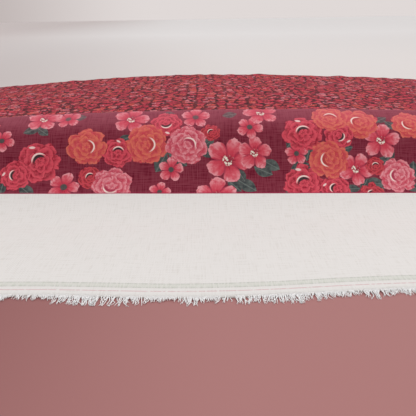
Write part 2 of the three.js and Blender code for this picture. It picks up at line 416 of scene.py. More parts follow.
# Creped paper tape: dull cream, in fine ridges across its length.
masking, tree, surface = material("creped_masking_tape", Roughness=0.6, Specular_IOR_Level=0.3)
at = add(tree, "TexCoord").outputs["Object"]
crepe_at = add(tree, "VectorMath", {0: at, 1: (0.1 / CREPE, 1 / CREPE, 1)}, operation="MULTIPLY")
crepe = add(tree, "TexNoise", {"Vector": crepe_at, "Scale": 1, "Detail": 2})
cream = add(tree, "ValToRGB", {0: crepe.outputs["Fac"]}, stops=[(0.35, "#cdb88c"), (0.7, "#e2d2ab")])
creped = add(tree, "Bump", {"Strength": 0.5, "Distance": 0.08 * MM, "Height": crepe.outputs["Fac"]})
coat(tree, surface, cream, creped)
refinish(masking, "start_tape_left", "start_tape_right")

# ---- The wound cloth ----
# Quilting cotton folded in two along its length, print outward, and wound doubled round the board in
# one long spiral. The ends show it: soft red folds at one, bare white selvages at the other, a
# little uneven from turn to turn.

THREAD = 0.75 * MM  # drawn at twice the real 0.37 mm, or it would not show
SLUB = 11 * MM
PACKED_ROSE = 9 * MM
PETAL = 4.2 * MM
SELVAGE = 12 * MM
TURN = 1.2 * MM  # what the last, slacker turn takes of the pile
LAST_GAP = 0.45 * MM  # between the wound turns and that last one
TURNS = 27
WOUND_PLY = 0.2 * MM  # pressed by the winding
FIRST_OFFSET = 0.9 * MM
FIRST_RADIUS = 1.5 * MM
EDGE_RADIUS = 25 * MM
TAKE_OFF = math.radians(65)
TUCK_UNDER = math.radians(15)  # how far the last turn's first edge lies behind the take-off
BACK_CROWN = 1.0 * MM  # the pile is fullest in the middle and slackens to the ends
BACK_SLACK = 13 * MM
FRONT_CROWN = -1.5 * MM
FRONT_SLACK = 6.5 * MM
FRONT_SLUMP = 2.5 * MM  # a little more at its left
BUMP_SIZES = (32 * MM, 105 * MM)
BUMP_HEIGHTS = (0.7 * MM, 0.8 * MM)
FADE_FROM = 3 * MM  # from this height the pile's unevenness grows from nothing, over the next
FADE_UP = 20 * MM
FOLD_STEPS = 3
WOUND_COLUMNS = np.array([1, 0.97, 0.9, 0.78, 0.6, 0.4, 0.2])
SELVAGE_WANDER = 2.6 * MM  # from turn to turn
FOLD_WANDER = 1.6 * MM
BORDER_TO = 69 * MM  # from the crest of the front edge down to the end of the print

turn_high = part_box("outer_turn")[1]
half_width = turn_high.x
half_depth = turn_high.y
bolt_top = turn_high.z


def smooth(t):
    """A soft step from 0 to 1 as t goes from 0 to 1."""
    t = np.clip(t, 0, 1)
    return t * t * (3 - 2 * t)


def bumps(x, y, z):
    """The soft pile's own unevenness, outward, as Perlin noise through the whole of it."""
    small, wide = (np.array([noise.noise((a / size, b / size, c / size + size)) for a, b, c in
                             zip(x.ravel(), y.ravel(), z.ravel())]).reshape(x.shape)
                   for size in BUMP_SIZES)
    return BUMP_HEIGHTS[0] * small + BUMP_HEIGHTS[1] * wide


def crown(x, y, z):
    """How far the pile on top of the board stands above or below its nominal height."""
    back = np.clip(0.5 + y / (2 * half_depth), 0, 1)
    middle = FRONT_CROWN + (BACK_CROWN - FRONT_CROWN) * back
    slack = FRONT_SLACK + (BACK_SLACK - FRONT_SLACK) * back
    out = np.abs(x) / half_width
    height = np.clip((z - board_high.z) / (bolt_top - board_high.z), 0, 1)
    slump = slack * out**2 * (1.5 - 0.5 * out) + FRONT_SLUMP * (1 - back) * np.clip(-x / half_width, 0, 1)
    return (middle - slump) * 1.15 * height**2 / (height + 0.15)


def cloth_place(tree):
    """The place along and down the cloth, in metres, and its two parts."""
    lay = add(tree, "Attribute", attribute_name="lay").outputs["Vector"]
    split = add(tree, "SeparateXYZ", {0: lay})
    return lay, split.outputs["X"], split.outputs["Y"]


def weave(tree, lay, x, s):
    """The relief of a plain weave, and how uneven it is from thread to thread, for the colour."""
    over = []
    for along in (x, s):
        turned = add(tree, "Math", {0: along, 1: math.pi / THREAD}, operation="MULTIPLY")
        over.append(add(tree, "Math", {0: turned}, operation="SINE"))
    crossing = add(tree, "Math", {0: over[0], 1: over[1]}, operation="MULTIPLY")
    threads = []
    for across, length in ((1 / THREAD, 1 / SLUB), (1 / SLUB, 1 / THREAD)):
        drawn = add(tree, "VectorMath", {0: lay, 1: (across, length, 0)}, operation="MULTIPLY")
        threads.append(add(tree, "TexNoise", {"Vector": drawn, "Scale": 0.9, "Detail": 1}))
    both = add(tree, "Math", {0: threads[0].outputs["Fac"], 1: threads[1].outputs["Fac"]},
               operation="ADD")
    height = add(tree, "Math", {0: crossing, 1: 0.35, 2: both}, operation="MULTIPLY_ADD")
    relief = add(tree, "Bump", {"Strength": 0.6, "Distance": 0.06 * MM, "Height": height})
    return relief, both


def packed_roses(tree, lay):
    """The field of the print: tiny roses side by side, each a few curled petals, dark between."""
    near = add(tree, "TexNoise", {"Vector": lay, "Scale": 1 / (5 * MM), "Detail": 1})
    nudge = add(tree, "VectorMath", {0: near.outputs["Color"], 1: (0.9, 0.9, 0), 2: (-0.45, -0.45, 0)},
                operation="MULTIPLY_ADD")
    scaled = add(tree, "VectorMath", {0: lay, 1: 1 / PETAL}, operation="SCALE")
    spread = add(tree, "VectorMath", {0: scaled, 1: nudge}, operation="ADD")
    petal = add(tree, "TexVoronoi", {"Vector": spread, "Scale": 1, "Randomness": 1},
                voronoi_dimensions="2D")
    rose_at = add(tree, "VectorMath", {0: spread, 1: PETAL / PACKED_ROSE}, operation="SCALE")
    head = add(tree, "TexVoronoi", {"Vector": rose_at, "Scale": 1, "Randomness": 0.85},
               voronoi_dimensions="2D")
    gaps = add(tree, "TexVoronoi", {"Vector": rose_at, "Scale": 1, "Randomness": 0.85},
               voronoi_dimensions="2D", feature="DISTANCE_TO_EDGE")
    chance = add(tree, "SeparateXYZ", {0: head.outputs["Color"]})
    own = add(tree, "SeparateXYZ", {0: petal.outputs["Color"]})
    mixed = add(tree, "Math", {0: own.outputs["Y"], 1: 0.4, 2: chance.outputs["X"]},
                operation="MULTIPLY_ADD")
    hue = add(tree, "ValToRGB", {0: mixed},
              stops=[(0.10, "#c83449"), (0.45, "#da4b59"), (0.72, "#da564c"), (0.95, "#e98a96"),
                     (1.0, "#d44454")])
    curled = add(tree, "ValToRGB", {0: petal.outputs["Distance"]},
                 stops=[(0.05, "#8c8c8c"), (0.20, "#e8e8e8"), (0.50, "#ffffff"), (0.60, "#b0b0b0"),
                        (0.72, "#383838")])
    in_head = add(tree, "VectorMath", {0: rose_at, 1: head.outputs["Position"]}, operation="SUBTRACT")
    coiled = add(tree, "TexWave", {"Vector": in_head, "Scale": 1.2, "Distortion": 5, "Detail": 1.5},
                 wave_type="RINGS", rings_direction="Z")
    coil = add(tree, "MapRange", {0: coiled.outputs["Fac"], 1: 0.1, 2: 0.6, 3: 0.62, 4: 1.0})
    shade = add(tree, "Math", {0: curled, 1: coil}, operation="MULTIPLY")
    lifted = add(tree, "Mix", {0: shade, 1: linear("#431220"), 2: hue}, data_type="RGBA")
    some = add(tree, "MapRange", {0: own.outputs["X"], 1: 0.2, 2: 0.9, 3: 0.05, 4: 0.20})
    gap = add(tree, "Math", {0: gaps.outputs["Distance"], 1: some}, operation="LESS_THAN")
    gap_soft = add(tree, "Math", {0: gap, 1: 0.8}, operation="MULTIPLY")
    return add(tree, "Mix", {0: gap_soft, 1: lifted, 2: linear("#3d1820")}, data_type="RGBA")


def bare_selvage(tree, x, printed, white):
    """The print, but bare white cloth along the two selvages, which both lie at the right-hand end."""
    centred = add(tree, "Math", {0: x, 1: half_width}, operation="ADD")
    from_fold = add(tree, "Math", {0: centred}, operation="ABSOLUTE")
    edge = 2 * half_width - SELVAGE
    bare = add(tree, "MapRange", {0: from_fold, 1: edge, 2: edge + 0.3 * MM}, **SOFT)
    return add(tree, "Mix", {0: bare, 1: printed, 2: white}, data_type="RGBA")


# Printed quilting cotton: a matt plain weave with a faint bloom of loose fibres.
PRINTED = {"Roughness": 0.9, "Sheen_Weight": 0.03, "Sheen_Roughness": 0.5, "Specular_IOR_Level": 0.08}
BARE_WHITE = [(0.5, "#dad6d1"), (1.0, "#e6e3e0")]
field_cotton, tree, surface = material("quilting_cotton_field", **PRINTED)
lay_at, x_at, s_at = cloth_place(tree)
relief, threads = weave(tree, lay_at, x_at, s_at)
white = add(tree, "ValToRGB", {0: threads}, stops=BARE_WHITE)
coat(tree, surface, bare_selvage(tree, x_at, packed_roses(tree, lay_at), white), relief)

# Its wrong side: pale, with a ghost of the print.
wrong_side, tree, surface = material("quilting_cotton_wrong_side", Roughness=0.9, Sheen_Weight=0.15,
                                     Specular_IOR_Level=0.2)
lay_at, x_at, s_at = cloth_place(tree)
relief, threads = weave(tree, lay_at, x_at, s_at)
ghost_at = add(tree, "VectorMath", {0: lay_at, 1: 1 / (16 * MM)}, operation="SCALE")
ghost = add(tree, "TexNoise", {"Vector": ghost_at, "Scale": 1, "Detail": 2})
show_through = add(tree, "ValToRGB", {0: ghost.outputs["Fac"]},
                   stops=[(0.35, "#c08d93"), (0.65, "#d6b1b3")])
unprinted = add(tree, "MapRange", {0: s_at, 1: BORDER_TO - 0.3 * MM, 2: BORDER_TO + 0.3 * MM}, **SOFT)
plain = add(tree, "ValToRGB", {0: threads}, stops=[(0.5, "#d8d4cf"), (1.0, "#e4e1dd")])
wrong = add(tree, "Mix", {0: unprinted, 1: show_through, 2: plain}, data_type="RGBA")
coat(tree, surface, bare_selvage(tree, x_at, wrong, plain), relief)

# Each turn is a rounded rectangle. Its corners are numbered from the top front one, in the order in
# which the cloth goes round: down the front, back underneath, up the back and forward on top.
START = math.pi / 2 + TAKE_OFF - TUCK_UNDER
CORNERS = ((-1, 1), (-1, -1), (1, -1), (1, 1))
places = []  # (corner, angle from +Y, how far on to the next corner) of the stations of one turn
for corner, first_angle, last_angle in ((0, START, math.pi), (1, math.pi, 1.5 * math.pi),
                                        (2, 1.5 * math.pi, 2 * math.pi), (3, 0, math.pi / 2),
                                        (0, math.pi / 2, START)):
    arc = max(2, round((last_angle - first_angle) / math.radians(22)))
    places += [(corner, first_angle + (last_angle - first_angle) * i / arc, 0) for i in range(arc + 1)]
    if corner % 2:
        places += [(corner, last_angle, i / 7) for i in range(1, 7)]
places = places[:-1]
per_turn = len(places)
station = np.arange(TURNS * per_turn)
corner, angle, onward = np.array(places * TURNS).T
corner = corner.astype(int)
gone = station / per_turn
reach = bolt_top - board_high.z - TURN - LAST_GAP
offset = FIRST_OFFSET + (reach - FIRST_OFFSET) * gone / TURNS


def corner_point(corner, angle, offset):
    """A point on a rounded corner of the outline at that offset from the board."""
    radius = FIRST_RADIUS + offset * (EDGE_RADIUS - FIRST_RADIUS) / (bolt_top - board_high.z)
    side = np.array(CORNERS)[corner]
    y = side[:, 0] * (board_high.y + offset - radius) + radius * np.cos(angle)
    z = side[:, 1] * ((board_high.z - board_low.z) / 2 + offset - radius) + radius * np.sin(angle)
    return np.stack([y, z + (board_high.z + board_low.z) / 2], 1)


here = corner_point(corner, angle, offset)
there = corner_point((corner + 1) % 4, angle, offset)
line = here + (there - here) * onward[:, None]
length = np.concatenate([[0], np.cumsum(np.hypot(*np.diff(line, axis=0).T))])
wound_length = length[-1]


def folded_sheet(row_count, upper, surface_at):
    """Points and cloth places of a doubled cloth: the upper ply from its selvage to the fold, round
    the fold, and the lower ply back. surface_at gives the points of a ply from x and which ply."""
    n = len(upper)
    columns = 2 * n + FOLD_STEPS - 1
    points = np.zeros((row_count, columns, 3))
    across = np.zeros((row_count, columns))
    grid_x = np.repeat(upper[None, :], row_count, 0)
    points[:, :n] = surface_at(grid_x, 1)
    points[:, -n:] = surface_at(grid_x, -1)[:, ::-1]
    across[:, :n] = grid_x
    across[:, -n:] = -2 * half_width - grid_x[:, ::-1]
    middle = (points[:, n - 1] + points[:, -n]) / 2
    arm = (points[:, n - 1] - points[:, -n]) / 2
    bulge = np.linalg.norm(arm, axis=1)
    for k in range(1, FOLD_STEPS):
        turn = math.pi * k / FOLD_STEPS
        points[:, n - 1 + k] = middle + arm * math.cos(turn)
        points[:, n - 1 + k, 0] -= bulge * math.sin(turn)
        across[:, n - 1 + k] = across[:, n - 1] - bulge * turn
    return points, across


def grid_faces(rows, columns):
    """The faces of a grid of points that is stored row by row."""
    i, j = np.meshgrid(np.arange(rows - 1), np.arange(columns - 1), indexing="ij")
    a = (i * columns + j).ravel()
    return np.stack([a, a + 1, a + columns + 1, a + columns], -1)


def cloth_piece(name, points, across, down, finish, ply):
    """A cloth with its place along and down it kept at every point, and its ply's thickness."""
    rows, columns = across.shape
    faces = grid_faces(rows, columns)
    piece = mesh_piece(name, points.reshape(-1, 3), faces.tolist(), [finish, wrong_side])
    lay = np.stack([across.ravel(), np.repeat(down, columns), np.zeros(rows * columns)], 1)
    kept = piece.data.attributes.new("lay", "FLOAT_VECTOR", "POINT")
    kept.data.foreach_set("vector", lay.astype(np.float32).ravel())
    shell = piece.modifiers.new("ply", "SOLIDIFY")
    shell.thickness = ply
    shell.offset = 0
    shell.material_offset = 1
    shell.material_offset_rim = 1
    return piece, lay[:, :2][faces]


wound_across = np.concatenate([WOUND_COLUMNS, [0], -WOUND_COLUMNS[::-1]]) * half_width


def wound_at(x, ply):
    """The points of one ply of the spiral, a little out of true at the ends from turn to turn."""
    uneven = np.array([(noise.noise((g * 1.3, 0.4, ply * 0.7)), noise.noise((g * 1.1, 5.4, ply * 0.2)))
                       for g in gone])
    shift = np.where(x > 0, uneven[:, :1] * SELVAGE_WANDER - 0.8 * MM,
                     uneven[:, 1:] * FOLD_WANDER + 0.6 * MM)
    end = np.clip((np.abs(x) / half_width - 0.9) / 0.1, 0, 1)
    y, z = (np.repeat(line[:, i : i + 1], x.shape[1], 1) for i in (0, 1))
    deep = np.repeat((offset[:, None] / reach) ** 2, x.shape[1], 1)
    out = ply * WOUND_PLY * 0.85 + bumps(x, y, z) * deep * smooth((z - FADE_FROM) / FADE_UP)
    facing = np.repeat(angle[:, None], x.shape[1], 1)
    return np.stack([x + shift * end, y + out * np.cos(facing),
                     z + out * np.sin(facing) + crown(x, y, z)], -1)


wound_points, wound_lay = folded_sheet(len(line), wound_across, wound_at)
wound, _ = cloth_piece("wound_turns", wound_points, wound_lay, length - wound_length - 1, field_cotton,
                       WOUND_PLY)
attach(wound, "bolt")
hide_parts("wound_cloth")

# ---- The last turn and the free end ----
# The same cotton goes on round the bolt once more, comes over the front edge and sweeps down to lie
# on the table. A border of scattered blooms on burgundy runs over the front edge. The last hand's
# breadth is unprinted, with coloured picks woven in before the cut.

SWEEP_RADIUS = 50 * MM
PLY = 0.3 * MM  # slack quilting cotton
PLY_LOFT = 0.3 * MM  # from the middle of the doubled turn to the middle of each ply
laid_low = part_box("free_end")[0]
turn_radius = EDGE_RADIUS - TURN / 2


def walk(start, heading, legs, step=1 * MM):
    """Points of a line in Y and Z, about a step apart, with the heading at each and the length walked.
    A leg is (length, 0) for a straight or (radius, turn) for an arc, and a positive turn bends left."""
    at, rows, gone = Vector(start), [], 0.0
    rows.append((*at, heading, gone))
    for size, turn in legs:
        length = abs(size * turn) if turn else size
        count = max(1, round(length / step))
        for _ in range(count):
            heading += turn / count / 2
            chord = 2 * size * math.sin(abs(turn) / count / 2) if turn else length / count
            at = at + Vector((math.cos(heading), math.sin(heading))) * chord
            heading += turn / count / 2
            gone += length / count
            rows.append((*at, heading, gone))
    return np.array(rows)


def front_point(angle, radius):
    """A point on the rounded front edge, at an angle forward from straight up."""
    return (-half_depth + EDGE_RADIUS - radius * math.sin(angle),
            bolt_top - EDGE_RADIUS + radius * math.cos(angle))


run = 2 * (half_depth - EDGE_RADIUS)
rise = bolt_top - 2 * EDGE_RADIUS
quarter = math.pi / 2
take_off_height = front_point(TAKE_OFF, turn_radius)[1] - TURN / 2
slope = (take_off_height - SWEEP_RADIUS * (1 - math.cos(TAKE_OFF))) / math.sin(TAKE_OFF)
laid = -SWEEP_RADIUS * math.sin(TAKE_OFF) - slope * math.cos(TAKE_OFF)
laid_length = front_point(TAKE_OFF, turn_radius)[0] + laid - laid_low.y
start_angle = TAKE_OFF - TUCK_UNDER
route = walk(
    front_point(start_angle, turn_radius), math.pi + start_angle,
    [(turn_radius, quarter - start_angle), (rise, 0), (turn_radius, quarter), (run, 0),
     (turn_radius, quarter), (rise, 0), (turn_radius, quarter), (run, 0), (turn_radius, TAKE_OFF),
     (slope, 0), (SWEEP_RADIUS, -TAKE_OFF), (laid_length, 0)],
)
# Lengths along the cloth are counted from the crest of the front edge, forward to the cut.
crest = route[-1, 3] - laid_length - (SWEEP_RADIUS + turn_radius) * TAKE_OFF - slope
route[:, 3] -= crest
cut = route[-1, 3]
first = route[0, 3]

BORDER_FROM = -6 * MM
BORDER_SKEW = 0.0166  # prints rarely run quite true to the weft
HUMP = 2.2 * MM  # the cloth stands up a little where it turns over the front edge
HUMP_WIDTH = 6 * MM
WAVE = 220 * MM  # the free end lies in low waves
WAVE_LIFT = 1.1 * MM
WAVE_BOW = 2.2 * MM
WAVES_FROM = 75 * MM
FIRST_LAP = 120 * MM  # the last turn starts a turn's depth lower and climbs over the edge below it
CREEP_FROM = 95 * MM  # the laid cloth is a little puckered from here
CREEP_TO = 135 * MM
BEFORE_CUT = 25 * MM  # the last stretch lies flat
RIDGE = 14 * MM  # the back of the rounded edge, where the slack gathers in small folds
RIDGE_FOLDS = 1.3 * MM
RIDGE_CLOSER = 2.4  # those folds lie this many times closer than the other bumps


def cloth_at(x, s, lift):
    """The point of the cloth at place x along the bolt and s along the cloth, lifted off its middle
    line."""
    waved = smooth((s - WAVES_FROM) / (cut - WAVES_FROM))
    along = s + WAVE_BOW * np.cos(2 * math.pi * x / WAVE) * waved
    y, z, heading = (np.interp(along, route[:, 3], route[:, i]) for i in range(3))
    y = y - np.maximum(along - cut, 0)
    first_layer = -TURN * smooth(1 - (s - first) / FIRST_LAP)
    hump = HUMP * np.exp(-(((s + 1 * MM) / HUMP_WIDTH) ** 2))
    on_bolt = smooth((z - FADE_FROM) / FADE_UP)
    before_cut = smooth((cut - s) / BEFORE_CUT)
    creep = np.maximum(bumps(x, s, z * 0) + 0.1 * MM, 0) * before_cut
    creep = creep * smooth((s - CREEP_FROM) / (CREEP_TO - CREEP_FROM))
    out = lift + first_layer + hump + on_bolt * bumps(x, y, z) + 0.7 * creep
    ridge = np.exp(-(((y - half_depth + EDGE_RADIUS) / RIDGE) ** 2))
    ridge = ridge * smooth((z - 40 * MM) / (10 * MM))
    out = out + RIDGE_FOLDS * ridge * np.abs(bumps(x * RIDGE_CLOSER, y * 0, y * 0)) / BUMP_HEIGHTS[0]
    lift_up = WAVE_LIFT * (0.5 - 0.5 * np.cos(2 * math.pi * x / WAVE)) * waved * before_cut
    return np.stack([
        x,
        y + out * np.sin(heading),
        z - out * np.cos(heading) + crown(x, y, z) + lift_up,
    ], -1)


def spaced(start, end, step):
    """Even places from start up to, but without, end, about a step apart."""
    return list(np.linspace(start, end, max(2, round((end - start) / step) + 1)))[:-1]


turn_stations = np.array(
    spaced(first, -420 * MM, 7 * MM) + spaced(-420 * MM, -300 * MM, 12 * MM)
    + spaced(-300 * MM, -190 * MM, 5 * MM) + spaced(-190 * MM, -24 * MM, 6.5 * MM)
    + spaced(-24 * MM, BORDER_FROM, 2.4 * MM) + [BORDER_FROM]
)
end_stations = np.array(
    spaced(BORDER_FROM, 20 * MM, 2.4 * MM) + spaced(20 * MM, 45 * MM, 1.6 * MM)
    + spaced(45 * MM, 78 * MM, 2.4 * MM) + spaced(78 * MM, cut, 3.6 * MM) + [cut]
)
last_across = np.array(spaced(-half_width, half_width, 3.6 * MM) + [half_width])[::-1]


def slack_cloth(stations):
    """The doubled cloth over these stations, its selvages a little out of true."""
    def ply_at(x, ply):
        s = np.repeat(stations[:, None], x.shape[1], 1)
        edge = smooth((x - half_width + 30 * MM) / (30 * MM))
        waver = np.array([[noise.noise((v / (60 * MM), 5.5, ply * 0.8))] for v in stations])
        shift = (1.2 * MM * waver - 0.5 * MM * (ply < 0)) * edge
        return cloth_at(x + shift, s, ply * PLY_LOFT)

    return folded_sheet(len(stations), last_across, ply_at)


# The sheet is made in two pieces that meet, with shared edge points, where the field ends and the border
# begins,
# just behind the crest: the turn stays on the bolt.
turn_points, turn_lay = slack_cloth(turn_stations)
last_turn, _ = cloth_piece("cloth_last_turn", turn_points, turn_lay, turn_stations, field_cotton, PLY)
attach(last_turn, "bolt")
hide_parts("outer_turn")
end_points, end_lay = slack_cloth(end_stations)

# The blooms of the border, in a repeat of 310 mm: place along the bolt, distance down from the crest, and
# size across, in millimetres, and turn in degrees.
REPEAT = 310 * MM
ROSES = {  # each kind's number picks its colours in the rose's ramps
    0: [(-120, 43, 29, 0), (69, 24, 27, -10), (68, 62, 27, -8), (-137, 53, 21, 55), (-64, 37, 21, -30),
        (-29, 14, 22, 160), (95, 27, 20, -150), (90, 67, 20, 40)],
    1: [(-86, 32, 27, -110), (-43, 31, 29, -120), (87, 45, 27, 75), (110, 15, 27, 20),
        (90, 10, 25, -40), (147, 17, 25, 90)],
    2: [(-14, 32, 28, -70), (135, 58, 25, 60), (-68, 62, 28, 130)],
    3: [(-84, 55, 16, 0), (3, 23, 13, 10), (120, 50, 13, -20), (115, 72, 17, 30)],
}
BLOSSOMS = {
    0: [(-102, 62, 21, 0), (-26, 50, 17, 10), (31, 19, 18, -8), (64, 40, 16, 20), (-34, 67, 15, 5),
        (-102, 6, 18, 30), (-8, 8, 20, 15), (-147, 26, 18, -15)],
    1: [(15, 44, 31, -6), (34, 39, 23, 14), (125, 31, 26, 8), (106, 52, 23, -12), (-55, 9, 25, 4),
        (-120, 5, 24, 12), (40, 4, 24, 30), (6, 71, 28, 14)],
}
LEAVES = [(-126, 17, 11, 25), (-118, 19, 9, -40), (-94, 5, 9, 10), (-59, 27, 9, 30), (-128, 65, 12, -40),
          (-146, 63, 9, 80), (-26, 34, 12, 45), (-33, 45, 13, 60), (-21, 43, 13, -35), (1, 31, 9, 40),
          (0, 38, 10, -30), (40, 52, 12, -25), (46, 48, 11, -30), (19, 63, 11, -45), (28, 63, 13, -35),
          (24, 55, 9, -60), (61, 31, 10, 50), (73, 38, 13, 75), (66, 50, 12, 20), (76, 54, 12, -80),
          (99, 37, 9, 10), (127, 12, 9, 30), (133, 18, 9, -50), (130, 43, 11, 60), (125, 47, 9, 20),
          (118, 63, 12, -10), (111, 64, 9, 60), (120, 70, 9, 40), (102, 67, 9, 0), (147, 54, 12, 85),
          (144, 66, 11, -30), (-28, 4, 8, 0), (17, 6, 9, 10), (59, 70, 9, 0)]
BLOOM_MARGIN = 4.5 * MM


def place_blooms(face_corners, layouts, layer_count, grown):
    """For each layer, every face corner's place in the bloom that its face shows, in the bloom's own
    frame where its rim is at 1, with the bloom's kind and chance share as the third number."""
    far = np.zeros((*face_corners.shape[:2], 3))
    far[..., 0] = 9
    layers = [far.copy() for _ in range(layer_count)]
    held = [[] for _ in range(layer_count)]
    low = face_corners.min(1)
    high = face_corners.max(1)
    count = 0
    for kind, blooms in layouts.items():
        for x, s, size, turn in blooms:
            at, radius = np.array([x, s]) * MM, size * grown * MM / 2
            layer = next(k for k in range(layer_count)
                         if all(math.dist(at + [shift, 0], other) > radius + reach + BLOOM_MARGIN
                                for other, reach in held[k] for shift in (-REPEAT, 0, REPEAT)))
            held[layer].append((at, radius))
            count += 1
            chance = 0.1 + 0.8 * (count * 0.618 % 1)
            c, q = math.cos(math.radians(turn)), math.sin(math.radians(turn))
            for copy in range(-3, 2):
                centre = at + [copy * REPEAT, 0]
                nearest = np.clip(centre, low, high)
                near = np.hypot(*(nearest - centre).T) < radius * 1.1
                local = (face_corners[near] - centre) / radius * [1, -1]
                layers[layer][near, :, 0] = local[..., 0] * c + local[..., 1] * q
                layers[layer][near, :, 1] = local[..., 1] * c - local[..., 0] * q
                layers[layer][near, :, 2] = kind + chance
    return layers


def bloom_group(name):
    """An empty node group that takes a place in a bloom and gives its colour and how far it covers."""
    group = bpy.data.node_groups.new(name, "ShaderNodeTree")
    group.interface.new_socket("Place", in_out="INPUT", socket_type="NodeSocketVector")
    group.interface.new_socket("Colour", in_out="OUTPUT", socket_type="NodeSocketColor")
    group.interface.new_socket("Cover", in_out="OUTPUT", socket_type="NodeSocketFloat")
    return group, group.nodes.new("NodeGroupInput").outputs["Place"]


def polar(tree, place, wander_by):
    """A bloom's own flat place, the same place made uneven, its distance out and its angle as a share."""
    flat = add(tree, "VectorMath", {0: place, 1: (1, 1, 0)}, operation="MULTIPLY")
    seeded = add(tree, "VectorMath", {0: place, 1: (1.6, 1.6, 7.3)}, operation="MULTIPLY")
    wander = add(tree, "TexNoise", {"Vector": seeded, "Scale": 1.3, "Detail": 1.5})
    shift = add(tree, "VectorMath",
                {0: wander.outputs["Color"], 1: (wander_by, wander_by, 0),
                 2: (-wander_by / 2, -wander_by / 2, 0)}, operation="MULTIPLY_ADD")
    uneven = add(tree, "VectorMath", {0: flat, 1: shift}, operation="ADD")
    ragged = add(tree, "TexNoise", {"Vector": seeded, "Scale": 4.5, "Detail": 2})
    reach = add(tree, "VectorMath", {0: uneven}, operation="LENGTH")
    out = add(tree, "Math", {0: ragged.outputs["Fac"], 1: 0.16, 2: reach}, operation="MULTIPLY_ADD")
    out = add(tree, "Math", {0: out, 1: 0.08}, operation="SUBTRACT")
    angle = add(tree, "TexGradient", {"Vector": uneven}, gradient_type="RADIAL")
    return flat, uneven, out, angle.outputs["Fac"]


def lobes(tree, angle, count, rounding, least, most):
    """The rim of a flower of so many petals: its distance out at each angle."""
    turned = add(tree, "Math", {0: angle, 1: math.pi * count}, operation="MULTIPLY")
    swing = add(tree, "Math", {0: turned}, operation="SINE")
    petal = add(tree, "Math", {0: swing}, operation="ABSOLUTE")
    round_petal = add(tree, "Math", {0: petal, 1: rounding}, operation="POWER")
    rim = add(tree, "Math", {0: round_petal, 1: most - least, 2: least},
              operation="MULTIPLY_ADD")
    return petal, rim


# A printed rose: ragged rings of petals round an eye that looks to one side, with a pale rim to it.
rose, place = bloom_group("printed_rose")
flat, uneven, out, angle = polar(rose, place, 0.36)
petal, rim = lobes(rose, angle, 7, 0.6, 0.80, 0.97)
inside = add(rose, "Math", {0: rim, 1: out}, operation="SUBTRACT")
cover = add(rose, "MapRange", {0: inside, 1: 0, 2: 0.03}, **SOFT)
kind = add(rose, "SeparateXYZ", {0: place}).outputs["Z"]
share = add(rose, "Math", {0: kind, 1: 4}, operation="DIVIDE")
RINGS = 4.1
stepped = add(rose, "Math", {0: out, 1: RINGS}, operation="MULTIPLY")
ring = add(rose, "Math", {0: stepped}, operation="FLOOR")
ring_turn = add(rose, "Math", {0: ring, 1: 0.37, 2: kind}, operation="MULTIPLY_ADD")
turned = add(rose, "Math", {0: angle, 1: 5, 2: ring_turn}, operation="MULTIPLY_ADD")
half_turns = add(rose, "Math", {0: turned, 1: math.pi}, operation="MULTIPLY")
swing = add(rose, "Math", {0: add(rose, "Math", {0: half_turns}, operation="SINE")},
            operation="ABSOLUTE")
scallop = add(rose, "Math", {0: swing, 1: 0.6}, operation="POWER")
dent = add(rose, "Math", {0: scallop, 1: -0.6, 2: 0.6}, operation="MULTIPLY_ADD")
in_ring = add(rose, "Math", {0: add(rose, "Math", {0: stepped, 1: dent}, operation="ADD")},
              operation="FRACT")
brushed = add(rose, "TexNoise", {"Vector": uneven, "Scale": 5, "Detail": 2})
petal_light = add(rose, "Math", {0: brushed.outputs["Fac"], 1: 0.95, 2: in_ring},
                  operation="MULTIPLY_ADD")
petal_share = add(rose, "MapRange", {0: petal_light, 1: 0.45, 2: 1.30}, **SOFT)
deep = add(rose, "ValToRGB", {0: share},
           stops=[(0, "#8f1a2e"), (0.25, "#bd3b46"), (0.5, "#bd3f55"), (0.75, "#841c2a")])
light = add(rose, "ValToRGB", {0: share},
            stops=[(0, "#d84e5e"), (0.25, "#da6f5b"), (0.5, "#e29099"), (0.75, "#c6424a")])
eye_tint = add(rose, "ValToRGB", {0: share},
               stops=[(0, "#332b2e"), (0.25, "#b03a3c"), (0.5, "#a93650"), (0.75, "#352a2c")])
for ramp in (deep, light, eye_tint):
    ramp.color_ramp.interpolation = "CONSTANT"
smooth_petals = add(rose, "Mix", {0: petal_share, 1: deep, 2: light}, data_type="RGBA")
mottle_at = add(rose, "VectorMath", {0: flat, 1: kind}, operation="ADD")
mottle = add(rose, "TexNoise", {"Vector": mottle_at, "Scale": 8, "Detail": 3})
mottled = add(rose, "MapRange", {0: mottle.outputs["Fac"], 1: 0.42, 2: 0.66, 4: 0.62}, **SOFT)
petals = add(rose, "Mix", {0: mottled, 1: smooth_petals, 2: linear("#cd4357")}, data_type="RGBA")
to_eye = add(rose, "VectorMath", {0: flat, 1: (0.02, 0.04, 0)}, operation="DISTANCE")
past_eye = add(rose, "VectorMath", {0: flat, 1: (0.11, -0.12, 0)}, operation="DISTANCE")
in_eye = add(rose, "MapRange", {0: to_eye, 1: 0.30, 2: 0.26}, **SOFT)
beside = add(rose, "MapRange", {0: past_eye, 1: 0.30, 2: 0.35}, **SOFT)
eye = add(rose, "Math", {0: in_eye, 1: beside}, operation="MULTIPLY")
with_eye = add(rose, "Mix", {0: eye, 1: petals, 2: eye_tint}, data_type="RGBA")
off_rim = add(rose, "Math", {0: to_eye, 1: 0.32}, operation="SUBTRACT")
near_rim = add(rose, "Math", {0: off_rim}, operation="ABSOLUTE")
on_rim = add(rose, "MapRange", {0: near_rim, 1: 0.05, 2: 0.02}, **SOFT)
far_side = add(rose, "MapRange", {0: past_eye, 1: 0.40, 2: 0.48}, **SOFT)
pale = add(rose, "Math", {0: on_rim, 1: far_side}, operation="MULTIPLY")
with_rim = add(rose, "Mix", {0: pale, 1: with_eye, 2: linear("#f4ddd5")}, data_type="RGBA")
